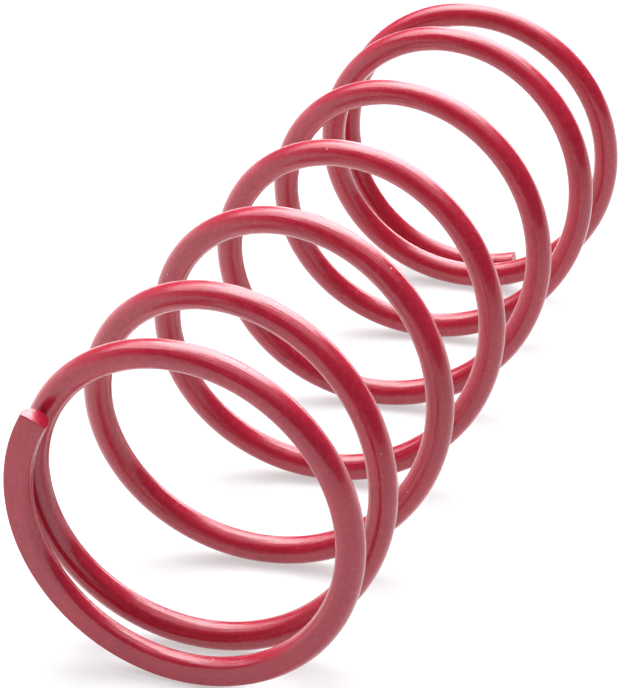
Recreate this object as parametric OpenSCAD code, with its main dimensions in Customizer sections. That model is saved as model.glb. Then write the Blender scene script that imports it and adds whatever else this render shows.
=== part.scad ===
// Coil spring: a left-hand compression spring of round wire, closed and ground flat at both ends.
// It lies on its side: the axis of the coil is level, along +Y from the front end to the rear end.
// The origin is on the surface that it lies on, under the middle of the axis.
// A place along the wire is given in turns, counted from the front tip.
// The wire is drawn as two end coils and short runs between them, so that the runs can close up as
// the spring is pressed. Neighbouring runs meet in a flat cut that holds the axis of the coil.

/* [Wire] */
// Diameter of the round wire
wire_d = 5; // [4.5:0.1:5.5]

/* [Coil] */
// Mean diameter of the coil, from wire centre to wire centre
coil_d = 58.5; // [48:0.5:70]
// Coils that work, between the two end coils
active_coils = 5; // [3:1:8]
// Turns in each end coil
end_turns = 1.193; // [1.15:0.001:1.4]
// Rise of the wire in one turn, in the open part
open_pitch = 30.9; // [24:0.1:34]
// Gap between a tip and the coil next to it
tip_gap = 0.3; // [0.1:0.1:1]
// Turns from a tip to where the wire starts to open
closed_turns = 0.25; // [0.2:0.01:0.4]
// Turns over which the wire opens to the full rise
opening_turns = 1.74; // [1.5:0.01:1.9]

/* [Ground ends] */
// Thickness of wire left at the tips after grinding
tip_thickness = 3.55; // [2.8:0.05:4]

/* [Hidden] */
// Facets of the wire: cuts per turn along it, and sides around it
cuts_per_turn = 60;
sides = 16;

// Each coil that works is four runs of a quarter turn
runs_per_coil = 4;
coil_r = coil_d / 2;
wire_r = wire_d / 2;
total_turns = active_coils + 2 * end_turns;
// Height of the axis of the coil
axis_height = coil_r + wire_r;

// Advance of the wire in one turn, at the tips: the first turn advances by one wire and the gap
first_turn_opening = opening_turns * opening_area((1 - closed_turns) / opening_turns);
closed_pitch = (wire_d + tip_gap - open_pitch * first_turn_opening) / (1 - first_turn_opening);

// The front tip is on the left, seen from the front, and a little above the axis
tip_angle = 150;
// Depth of the wire centre at a tip, behind the ground face
tip_depth = tip_thickness - wire_r;
free_length = 2 * (tip_depth + half_advance(total_turns / 2));
// A block that takes away all the wire beyond a ground face
grinding_side = 2 * coil_d;
paint = [0.62, 0.12, 0.17];

function run_name(coil, quarter) = str("active_coil_", coil, "_quarter_", quarter);

// Share of the opening reached at x, and its area from 0 to x; x counts from 0 at its start to 1 at its end
function opening(x) = x <= 0 ? 0 : x >= 1 ? 1 : x * x * (3 - 2 * x);
function opening_area(x) = x <= 0 ? 0 : x >= 1 ? x - 0.5 : pow(x, 3) - pow(x, 4) / 2;

// Turns from the nearer tip
function from_tip(turn) = min(turn, total_turns - turn);
// Advance of the wire per turn at a place, and its total from the nearer tip
function pitch(turn) =
    closed_pitch + (open_pitch - closed_pitch) * opening((from_tip(turn) - closed_turns) / opening_turns);
function half_advance(turn) =
    closed_pitch * turn
    + (open_pitch - closed_pitch) * opening_turns * opening_area((turn - closed_turns) / opening_turns);
// Place of the wire centre along the axis, and its distance behind the nearer ground face
function centre_depth(turn) = tip_depth + half_advance(from_tip(turn));
function centre_y(turn) =
    turn < total_turns / 2 ? centre_depth(turn) - free_length / 2 : free_length / 2 - centre_depth(turn);

// The wire is round across its own direction, so a cut that holds the axis is longer by this much
function slope_stretch(turn) = sqrt(1 + pow(pitch(turn) / (PI * coil_d), 2));

// Corners of one cut through the wire
function wire_cut(turn) = [
    for (side = [0:sides - 1])
        let (
            around = 360 * side / sides,
            along = tip_angle + 360 * turn,
            reach = coil_r + wire_r * cos(around)
        )
        [
            reach * cos(along),
            centre_y(turn) + wire_r * slope_stretch(turn) * sin(around),
            axis_height + reach * sin(along)
        ]
];

// The wire from one place to another
module wire(from_turn, to_turn) {
    cuts = round((to_turn - from_turn) * cuts_per_turn);
    corners = [for (i = [0:cuts]) each wire_cut(from_turn + (to_turn - from_turn) * i / cuts)];
    first_face = [for (side = [0:sides - 1]) side];
    last_face = [for (side = [sides - 1:-1:0]) cuts * sides + side];
    skin = [
        for (i = [0:cuts - 1])
            for (side = [0:sides - 1])
                let (next = (side + 1) % sides)
                each [
                    [i * sides + side, (i + 1) * sides + side, (i + 1) * sides + next],
                    [i * sides + side, (i + 1) * sides + next, i * sides + next]
                ]
    ];
    polyhedron(points = corners, faces = concat([first_face, last_face], skin));
}

// Takes away the wire beyond the ground face: at the front end with facing -1, and at the rear with 1
module ground(facing) {
    difference() {
        children();
        translate([0, facing * (free_length + grinding_side) / 2, axis_height])
            cube(grinding_side, center = true);
    }
}

module front_end_coil() {
    color(paint) ground(-1) wire(0, end_turns);
}

module rear_end_coil() {
    color(paint) ground(1) wire(total_turns - end_turns, total_turns);
}

// A quarter turn of the wire; coils and quarters are counted from 1, from the front to the rear
module active_run(coil, quarter) {
    start = end_turns + coil - 1 + (quarter - 1) / runs_per_coil;
    color(paint) wire(start, start + 1 / runs_per_coil);
}

front_end_coil();
rear_end_coil();
for (coil = [1:active_coils]) {
    for (quarter = [1:runs_per_coil]) {
        active_run(coil, quarter);
    }
}
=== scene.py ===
"""Coil spring: its looks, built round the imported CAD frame.

A left-hand compression spring of round wire, closed and ground flat at both ends, painted glossy red.
It lies on its side, with the axis of the coil along +Y. Lengths are in metres. A place along the wire is
given in turns, counted from the front tip. The formulas for the wire centre and the size of its cuts are
the same as in the CAD source, and the rounded edges are added here.
"""

import math

import bpy
import numpy as np
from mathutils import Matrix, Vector


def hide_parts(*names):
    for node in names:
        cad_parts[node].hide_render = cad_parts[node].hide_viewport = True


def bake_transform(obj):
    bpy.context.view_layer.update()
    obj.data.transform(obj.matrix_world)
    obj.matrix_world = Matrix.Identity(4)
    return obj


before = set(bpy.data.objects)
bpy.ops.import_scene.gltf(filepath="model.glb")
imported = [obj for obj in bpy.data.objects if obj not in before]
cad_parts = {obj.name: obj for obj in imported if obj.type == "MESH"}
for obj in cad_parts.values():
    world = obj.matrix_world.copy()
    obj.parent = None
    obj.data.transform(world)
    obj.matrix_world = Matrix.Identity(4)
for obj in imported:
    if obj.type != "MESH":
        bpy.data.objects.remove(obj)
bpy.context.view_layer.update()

# Driving sizes, as in the CAD source
WIRE_R = 0.0025
COIL_R = 0.02925
ACTIVE_COILS = 5
END_TURNS = 1.193
OPEN_PITCH = 0.0309
TIP_GAP = 0.0003
CLOSED_TURNS = 0.25
OPENING_TURNS = 1.74
TIP_THICKNESS = 0.00355

TOTAL_TURNS = ACTIVE_COILS + 2 * END_TURNS
TURN_LENGTH = 2 * math.pi * COIL_R
TIP_ANGLE = math.radians(150)
AXIS_HEIGHT = COIL_R + WIRE_R

# Edge of the ground flats, which is sharp in the CAD model: how far its crisp rounding reaches. Past the
# tip the inner edge has a large rounding instead, inside the CAD shape: its radius, and turns from the tip
# where it starts, is full, is still full and is gone
FLAT_EDGE = 0.00008
INNER_ROUNDING = 0.0017
ROUNDING_TURNS = (0.0, 0.14, 0.27, 0.5)
# Face of a tip: rounding of its edge, how far its middle stands out, and how far its outer side stands back
FACE_EDGE = 0.00015
BULGE = 0.00016
SKEW = 0.00035


def smoothstep(x):
    """Smooth rise from 0 at x = 0 to 1 at x = 1."""
    x = np.clip(x, 0, 1)
    return x * x * (3 - 2 * x)


def opening_area(x):
    """Area under smoothstep from 0 to x, and past 1 with a height of 1."""
    return np.where(x <= 0, 0, np.where(x >= 1, x - 0.5, x**3 - x**4 / 2))


FIRST_TURN_OPENING = OPENING_TURNS * float(opening_area((1 - CLOSED_TURNS) / OPENING_TURNS))
CLOSED_PITCH = (2 * WIRE_R + TIP_GAP - OPEN_PITCH * FIRST_TURN_OPENING) / (1 - FIRST_TURN_OPENING)


def from_tip(turn):
    """Turns from the nearer tip."""
    return np.minimum(turn, TOTAL_TURNS - turn)


def half_advance(turn):
    """Advance of the wire centre along the axis, from the nearer tip."""
    opened = OPENING_TURNS * opening_area((turn - CLOSED_TURNS) / OPENING_TURNS)
    return CLOSED_PITCH * turn + (OPEN_PITCH - CLOSED_PITCH) * opened


TIP_DEPTH = TIP_THICKNESS - WIRE_R
FREE_LENGTH = 2 * (TIP_DEPTH + float(half_advance(TOTAL_TURNS / 2)))


def centre_y(turn):
    """Place of the wire centre along the axis."""
    behind_face = TIP_DEPTH + half_advance(from_tip(turn))
    return np.where(turn < TOTAL_TURNS / 2, behind_face - FREE_LENGTH / 2, FREE_LENGTH / 2 - behind_face)


def slope_stretch(turn):
    """How much taller than wide a cut that holds the axis is."""
    pitch = CLOSED_PITCH + (OPEN_PITCH - CLOSED_PITCH) * smoothstep(
        (from_tip(turn) - CLOSED_TURNS) / OPENING_TURNS
    )
    return np.sqrt(1 + (pitch / TURN_LENGTH) ** 2)


def inner_rounding(turn):
    """Radius of the inner edge of a flat."""
    near, (start, full, hold, end) = float(from_tip(turn)), ROUNDING_TURNS
    share = smoothstep((near - start) / (full - start)) * smoothstep((end - near) / (end - hold))
    return INNER_ROUNDING * float(share)


def rounded_reach(angle, depth, radius):
    """Reach of the wire where the inner edge of a flat is rounded, and elsewhere a reach past the wire.

    The arc touches the flat, at depth from the middle of the wire, and the round of the wire. The angle
    is counted from the direction of the flat towards the inside of the coil."""
    ahead = depth - radius
    aside = math.sqrt((WIRE_R - radius) ** 2 - ahead**2)
    offset = aside * np.cos(angle) - ahead * np.sin(angle)
    arc = aside * np.sin(angle) + ahead * np.cos(angle) + np.sqrt(np.maximum(radius**2 - offset**2, 0))
    on_arc = (angle > math.atan2(aside, depth)) & (angle < math.atan2(aside, ahead))
    return np.where(on_arc, arc, 2 * WIRE_R)


# ---------------------------------------------------------------- wire

# Cuts along the wire, and loops round it: on each flat, on each side between the flats, and by an edge of a
# flat, as angles from the edge. Where nothing is ground, the loops of the flat close up to the least corner
CUTS_PER_TURN = 120
FLAT_LOOPS = 7
SIDE_LOOPS = 17
EDGE_LOOPS = np.radians([-7, -4, -2, 0, 2, 4, 7])
LEAST_CORNER = math.radians(15)
# Cuts of a tip: scales of those on its face, and the number on its rounded edge
FACE_SCALES = [0.02, 0.3, 0.6, 0.85, 0.95, 0.99]
FACE_RINGS = 6
# Limits well past where they matter: of an exponent, and of how little a loop faces a flat
LARGE = 60
SMALL = 1e-3


def ground_group(corner):
    """Angles of the loops across one ground flat, from its middle; corner is where the flat ends."""
    inside = math.tan(corner + EDGE_LOOPS[0])
    flat = np.arctan(np.linspace(-inside, inside, FLAT_LOOPS + 2)[1:-1])
    return np.concatenate([-(corner + EDGE_LOOPS)[::-1], flat, corner + EDGE_LOOPS])


def loop_angles(to_faces):
    """Angles of all the loops round a cut, where 0 points away from the axis of the coil."""
    corners = [max(LEAST_CORNER, math.acos(min(1, distance / WIRE_R))) for distance in to_faces]
    front, rear = ground_group(corners[0]) - math.pi / 2, ground_group(corners[1]) + math.pi / 2
    outer = np.linspace(front[-1], rear[0], SIDE_LOOPS + 2)[1:-1]
    inner = np.linspace(rear[-1], front[0] + 2 * math.pi, SIDE_LOOPS + 2)[1:-1]
    return np.concatenate([front, outer, rear, inner])


def ground_reach(around, to_faces, rounding, inset):
    """Reach of the ground wire at each angle, and 1 where it is ground flat, else 0."""
    reach = np.full(around.shape, WIRE_R - inset)
    ground = np.zeros(around.shape)
    for distance, side in zip(to_faces, (-1, 1)):
        facing = np.maximum(side * np.sin(around), SMALL)
        beyond = np.clip((reach - (distance - inset) / facing) / FLAT_EDGE, -LARGE, LARGE)
        reach = reach - FLAT_EDGE * np.log1p(np.exp(beyond))
        ground = np.maximum(ground, 1 / (1 + np.exp(-beyond)))
        if rounding > 0 and distance < WIRE_R:
            inwards = np.arctan2(-np.cos(around), side * np.sin(around))
            arc = rounded_reach(inwards, distance, rounding)
            ground = np.where(arc < reach, 0, ground)
            reach = np.minimum(reach, arc)
    return reach, ground


def wire_cut(turn, inset=0.0, scale=1.0, bulge=0.0, skew=0.0):
    """Corners of one cut through the wire, with what textures need of each.

    That is its place in the wire if the wire were straight, and 1 where it is ground flat, else 0.
    The cut is pared by inset, then scaled. Its middle stands out beyond the tip by bulge, and its outer
    side stands back by skew."""
    place, stretch = float(centre_y(turn)), float(slope_stretch(turn))
    to_faces = [(FREE_LENGTH / 2 + side * place) / stretch for side in (1, -1)]
    around = loop_angles(to_faces)
    reach, ground = ground_reach(around, to_faces, inner_rounding(turn), inset)
    reach = reach * scale
    outward = -1 if turn < TOTAL_TURNS / 2 else 1
    across = reach * np.cos(around) / WIRE_R
    distance = turn * TURN_LENGTH + outward * (bulge * (1 - across**2) - skew * across)
    along = TIP_ANGLE + distance / COIL_R
    radial = COIL_R + reach * np.cos(around)
    length = place + stretch * reach * np.sin(around)
    points = np.stack([radial * np.cos(along), length, AXIS_HEIGHT + radial * np.sin(along)], axis=1)
    straight = np.stack([distance, reach * np.cos(around), reach * np.sin(around)], axis=1)
    return points, straight, ground


def tip_cuts():
    """Turn, inset, scale, bulge and skew of the cuts that make a tip: its face, then its rounded edge."""
    cuts = [(0, FACE_EDGE, scale, BULGE, SKEW) for scale in FACE_SCALES]
    for bend in np.linspace(0, math.pi / 2, FACE_RINGS):
        back, inset = FACE_EDGE * (1 - math.cos(bend)), FACE_EDGE * (1 - math.sin(bend))
        cuts.append((back / TURN_LENGTH, inset, 1, BULGE * math.cos(bend), SKEW))
    return cuts


def spring_wire():
    """The wire as one mesh, and the turn of each of its corners."""
    tip = tip_cuts()
    plain_from = tip[-1][0]
    cuts = round((TOTAL_TURNS - 2 * plain_from) * CUTS_PER_TURN)
    plain = [(turn,) for turn in np.linspace(plain_from, TOTAL_TURNS - plain_from, cuts + 1)[1:-1]]
    places = tip + plain + [(TOTAL_TURNS - turn, *rest) for turn, *rest in reversed(tip)]
    rings, straights, grounds = zip(*[wire_cut(*place) for place in places])
    sides = len(rings[0])
    corner = np.arange((len(rings) - 1) * sides).reshape(-1, sides)
    beside = np.roll(corner, -1, axis=1)
    quads = np.stack([corner, beside, beside + sides, corner + sides], axis=-1).reshape(-1, 4)
    last = (len(rings) - 1) * sides
    caps = [list(range(sides))[::-1], list(range(last, last + sides))]
    mesh = bpy.data.meshes.new("spring_wire")
    mesh.from_pydata(np.concatenate(rings).tolist(), [], quads.tolist() + caps)
    mesh.polygons.foreach_set("use_smooth", [True] * len(mesh.polygons))
    wire = bpy.data.objects.new("spring_wire", mesh)
    bpy.context.scene.collection.objects.link(wire)
    # Textures read these, so they stay on the wire when it bends
    for name, values in (("rest_place", rings), ("straight_place", straights)):
        attribute = mesh.attributes.new(name, "FLOAT_VECTOR", "POINT")
        attribute.data.foreach_set("vector", np.concatenate(values).astype(np.float32).ravel())
    attribute = mesh.attributes.new("ground", "FLOAT", "POINT")
    attribute.data.foreach_set("value", np.concatenate(grounds).astype(np.float32))
    return wire, np.repeat([place[0] for place in places], sides)


wire, wire_turns = spring_wire()

# ---------------------------------------------------------------- materials


# Sockets of a mix node that mixes colours
MIX_FACTOR, MIX_A, MIX_B, MIX_RESULT = 0, 6, 7, 2


class Graph:
    """The nodes of a material or world.

    Inputs are given as numbers, colours or the sockets that feed them."""

    def __init__(self, owner):
        owner.use_nodes = True
        self.nodes, self.links = owner.node_tree.nodes, owner.node_tree.links

    def fill(self, node, inputs):
        """Set or link the inputs of a node, by name or number."""
        for name, value in inputs.items():
            if isinstance(value, bpy.types.NodeSocket):
                self.links.new(value, node.inputs[name])
            else:
                node.inputs[name].default_value = value

    def node(self, kind, inputs, **settings):
        node = self.nodes.new("ShaderNode" + kind)
        for name, value in settings.items():
            setattr(node, name, value)
        self.fill(node, inputs)
        return node

    def add(self, kind, inputs, output=0, **settings):
        return self.node(kind, inputs, **settings).outputs[output]

    def math(self, operation, *inputs):
        return self.add("Math", dict(enumerate(inputs)), operation=operation)

    def vector(self, operation, *inputs, output=0):
        return self.add("VectorMath", dict(enumerate(inputs)), output=output, operation=operation)

    def ramp(self, value, low, high, to_low=0.0, to_high=1.0):
        """Value taken smoothly from to_low at low to to_high at high."""
        inputs = {"Value": value, "From Min": low, "From Max": high, "To Min": to_low, "To Max": to_high}
        return self.add("MapRange", inputs, interpolation_type="SMOOTHSTEP")

    def mix(self, factor, colour_a, colour_b):
        """Colour a at factor 0, and colour b at factor 1."""
        inputs = {MIX_FACTOR: factor, MIX_A: colour_a, MIX_B: colour_b}
        return self.add("Mix", inputs, output=MIX_RESULT, data_type="RGBA")

    def attribute(self, name, output="Vector"):
        return self.add("Attribute", {}, output=output, attribute_name=name)

    def noise(self, place, size, detail=2.0, **inputs):
        """Noise with features of about this size in metres."""
        return self.add("TexNoise", {"Vector": place, "Scale": 1 / size, "Detail": detail, **inputs})


# Colours of the paint: as it is, where it is thick, where it is thin, and its dust specks and scuffs
RED = (0.405, 0.012, 0.035, 1)
DEEP_RED = (0.345, 0.009, 0.028, 1)
THIN_RED = (0.46, 0.022, 0.050, 1)
SPECK = (0.62, 0.36, 0.38, 1)
SCUFF = (0.09, 0.008, 0.014, 1)

# Sizes of what the paint shows. Streaks and wheel marks are drawn out by their length over their width
CLOUD_SIZE = 0.018
GRAIN_SIZE = 0.0009
STREAK_WIDTH = 0.00045
STREAK_LENGTHS = 25
DUST_SPACING = 0.0032
MARK_SPACING = 0.04
MARK_PATCH = 0.0018
WHEEL_WIDTH = 0.00035
WHEEL_LENGTHS = 20
PEEL_SIZE = 0.0016
GLOSS_PATCH = 0.006

# Heights of what stands up from the paint, and the depth of a mark
PEEL_HEIGHT = 0.000036
STREAK_HEIGHT = 0.00007
DUST_HEIGHT = 0.00005
MARK_DEPTH = 0.00002
WHEEL_HEIGHT = 0.000012

# Roughness: of the glossiest and the dullest paint, and what a flat and a mark add to it
GLOSSY, DULL = 0.2, 0.262
GROUND_DULLNESS = 0.08
MARK_DULLNESS = 0.15
COAT_WEIGHT = 0.4
COAT_ROUGHNESS = 0.04


def paint():
    """Glossy red paint over drawn wire: orange peel, streaks along the wire, dust specks and scuffs."""
    material = bpy.data.materials.new("red_paint")
    g = Graph(material)
    straight = g.attribute("straight_place")
    ground = g.attribute("ground", "Fac")

    # Thicker and thinner paint
    cloud = g.noise(straight, CLOUD_SIZE, detail=3.0)
    grain = g.noise(straight, GRAIN_SIZE, detail=3.0)
    colour = g.mix(g.ramp(cloud, 0.35, 0.7), RED, DEEP_RED)
    colour = g.mix(g.ramp(grain, 0.45, 0.7, 0.0, 0.7), colour, THIN_RED)

    # Streaks of the wire drawing, long and narrow
    stretched = g.vector("MULTIPLY", straight, (1 / STREAK_LENGTHS, 1, 1))
    streak = g.noise(stretched, STREAK_WIDTH, detail=3.0)
    colour = g.mix(g.ramp(streak, 0.55, 0.72, 0.0, 0.5), colour, DEEP_RED)

    # Dust caught in the paint, in a few cells of a grid
    cell = g.node("TexVoronoi", {"Vector": straight, "Scale": 1 / DUST_SPACING})
    chance = g.vector("DOT_PRODUCT", cell.outputs["Color"], (1, 0, 0), output="Value")
    dusty = g.ramp(chance, 0.85, 0.87)
    dust = g.math("MULTIPLY", g.ramp(cell.outputs["Distance"], 0.03, 0.07, 1.0, 0.0), dusty)
    colour = g.mix(g.math("MULTIPLY", dust, 0.7), colour, SPECK)

    # Short marks across the wire, where the coiling tools held it
    distance = g.vector("DOT_PRODUCT", straight, (1, 0, 0), output="Value")
    along = g.math("MULTIPLY", distance, 1 / MARK_SPACING)
    from_mark = g.add("TexVoronoi", {"W": along}, output="Distance", voronoi_dimensions="1D")
    patchy = g.ramp(g.noise(straight, MARK_PATCH), 0.54, 0.64)
    patchy = g.math("MULTIPLY", patchy, g.math("SUBTRACT", 1.0, ground))
    mark = g.math("MULTIPLY", g.ramp(from_mark, 0.001, 0.007, 1.0, 0.0), patchy)
    colour = g.mix(g.math("MULTIPLY", mark, 0.5), colour, SCUFF)

    # Marks of the grinding wheel, straight across the flats
    grinding = g.vector("MULTIPLY", g.attribute("rest_place"), (1 / WHEEL_LENGTHS, 1, 1))
    wheel = g.math("MULTIPLY", g.noise(grinding, WHEEL_WIDTH, detail=3.0), ground)

    roughness = g.ramp(g.noise(straight, GLOSS_PATCH, detail=3.0), 0.3, 0.7, GLOSSY, DULL)
    for where, dullness in ((ground, GROUND_DULLNESS), (mark, MARK_DULLNESS)):
        roughness = g.math("ADD", roughness, g.math("MULTIPLY", where, dullness))

    height = g.math("MULTIPLY", g.noise(straight, PEEL_SIZE, detail=1.5), PEEL_HEIGHT)
    raised = ((streak, STREAK_HEIGHT), (dust, DUST_HEIGHT), (mark, -MARK_DEPTH), (wheel, WHEEL_HEIGHT))
    for where, rise in raised:
        height = g.math("ADD", height, g.math("MULTIPLY", where, rise))
    bump = g.add("Bump", {"Height": height, "Strength": 1.0, "Distance": 1.0}, output="Normal")

    g.fill(g.nodes["Principled BSDF"], {
        "Base Color": colour,
        "Roughness": roughness,
        "Normal": bump,
        "Coat Weight": COAT_WEIGHT,
        "Coat Roughness": COAT_ROUGHNESS,
        "Coat Normal": bump,
    })
    return material


FLOOR_GREY = 0.34
FLOOR_ROUGHNESS = 0.9
FLOOR_GLOW = 0.5
FLOOR_REACH = 6.0


def floor_material():
    """A white table that is lit from below a little, so that shadows stay faint."""
    material = bpy.data.materials.new("pale_floor")
    g = Graph(material)
    g.fill(g.nodes["Principled BSDF"], {
        "Base Color": (FLOOR_GREY, FLOOR_GREY, FLOOR_GREY, 1),
        "Roughness": FLOOR_ROUGHNESS,
        "Emission Color": (1, 1, 1, 1),
        "Emission Strength": FLOOR_GLOW,
    })
    return material


wire.data.materials.append(paint())
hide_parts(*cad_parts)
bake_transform(wire)

# ---------------------------------------------------------------- stage


def floor_plane():
    """A square floor, with the spring over its middle."""
    mesh = bpy.data.meshes.new("floor")
    sides = ((-1, -1), (1, -1), (1, 1), (-1, 1))
    mesh.from_pydata([(x * FLOOR_REACH, y * FLOOR_REACH, 0) for x, y in sides], [], [(0, 1, 2, 3)])
    floor = bpy.data.objects.new("floor", mesh)
    floor.data.materials.append(floor_material())
    bpy.context.scene.collection.objects.link(floor)
    return floor


floor = floor_plane()

# Direction in which the camera looks, in degrees from +Y towards -X
VIEW_AZIMUTH = 20.6
# Soft boxes round the stage: azimuth (0 is away from the camera, 90 to its right) and elevation of the
# middle, half width and half height, all in degrees, edge softness as a share of them, and radiance
SOFT_BOXES = [
    (-25, 58, 44, 22, 0.35, 4.0),
    (18, 20, 21, 21, 0.15, 3.6),
    (-78, 12, 30, 12, 0.8, 0.6),
]
# Soft box near the rear end: its sides, its distance and direction from there, and its radiance
NEAR_LIGHT_SIZE = (0.55, 0.35)
NEAR_LIGHT_DISTANCE = 0.45
NEAR_LIGHT_AZIMUTH = -6
NEAR_LIGHT_ELEVATION = 74
NEAR_LIGHT_RADIANCE = 4.2
# Radiance of the dim room, of the ceiling and of the wall at the horizon, and the height in which one goes
# over into the other, where 1 is straight up
ROOM = 0.1
CEILING = 1.8
HORIZON = 0.85
CEILING_HEIGHTS = (0.75, 0.98)
HORIZON_HEIGHTS = (0.09, 0.14)
LIGHT_COLOUR = (1, 1, 1.04, 1)


def heading(azimuth, elevation):
    """Direction in the frame of a light that the camera sees at this azimuth."""
    turned = math.radians(VIEW_AZIMUTH - azimuth)
    flat = math.cos(math.radians(elevation))
    return Vector((-math.sin(turned) * flat, math.cos(turned) * flat, math.sin(math.radians(elevation))))


def studio():
    """Soft boxes, a ceiling and a pale wall at the horizon, all far away, in a dim room."""
    world = bpy.data.worlds.new("studio")
    g = Graph(world)
    direction = g.add("TexCoord", {}, output="Generated")
    height = g.add("SeparateXYZ", {"Vector": direction}, output="Z")
    ceiling = g.ramp(height, *CEILING_HEIGHTS, ROOM, CEILING)
    light = g.math("ADD", ceiling, g.ramp(height, *HORIZON_HEIGHTS, HORIZON, 0.0))
    for azimuth, elevation, half_width, half_height, softness, radiance in SOFT_BOXES:
        middle = heading(azimuth, elevation)
        ahead = g.vector("DOT_PRODUCT", direction, middle, output="Value")
        right = middle.cross((0, 0, 1)).normalized()
        box = g.math("MULTIPLY", g.math("GREATER_THAN", ahead, 0.0), radiance)
        for side, half in ((right, half_width), (right.cross(middle), half_height)):
            offset = g.vector("DOT_PRODUCT", direction, side, output="Value")
            offset = g.math("ABSOLUTE", g.math("DIVIDE", offset, ahead))
            edge = math.tan(math.radians(half))
            inside = g.ramp(offset, edge * (1 - softness), edge * (1 + softness), 1.0, 0.0)
            box = g.math("MULTIPLY", box, inside)
        light = g.math("ADD", light, box)
    g.fill(g.nodes["Background"], {"Color": LIGHT_COLOUR, "Strength": light})
    bpy.context.scene.world = world


def near_light():
    """A soft box close to the rear end, which is why the rear coils are brighter."""
    data = bpy.data.lights.new("rear_soft_box", "AREA")
    data.shape = "RECTANGLE"
    data.size, data.size_y = NEAR_LIGHT_SIZE
    data.energy = NEAR_LIGHT_RADIANCE * math.pi * data.size * data.size_y
    light = bpy.data.objects.new("rear_soft_box", data)
    target = Vector((0, FREE_LENGTH / 2, AXIS_HEIGHT))
    direction = heading(NEAR_LIGHT_AZIMUTH, NEAR_LIGHT_ELEVATION)
    light.location = target + NEAR_LIGHT_DISTANCE * direction
    light.rotation_euler = direction.to_track_quat("Z", "Y").to_euler()
    light.visible_camera = False
    bpy.context.scene.collection.objects.link(light)


studio()
near_light()

# Camera: sensor width and focal length are in millimetres, and it shows nothing nearer than this
CAMERA_PLACE = Vector((0.1455, -0.4086, 0.2587))
CAMERA_AIM = Vector((-0.0016, -0.0168, AXIS_HEIGHT))
SENSOR_WIDTH = 36
LENS = 149.8
NEAREST = 0.01


def add_camera():
    """The camera of the main view."""
    data = bpy.data.cameras.new("camera")
    data.sensor_fit = "HORIZONTAL"
    data.sensor_width = SENSOR_WIDTH
    data.lens = LENS
    data.clip_start = NEAREST
    camera = bpy.data.objects.new("camera", data)
    camera.location = CAMERA_PLACE
    camera.rotation_euler = (CAMERA_AIM - CAMERA_PLACE).to_track_quat("-Z", "Y").to_euler()
    bpy.context.scene.collection.objects.link(camera)
    bpy.context.scene.camera = camera


add_camera()
bpy.context.scene.view_settings.view_transform = "Standard"
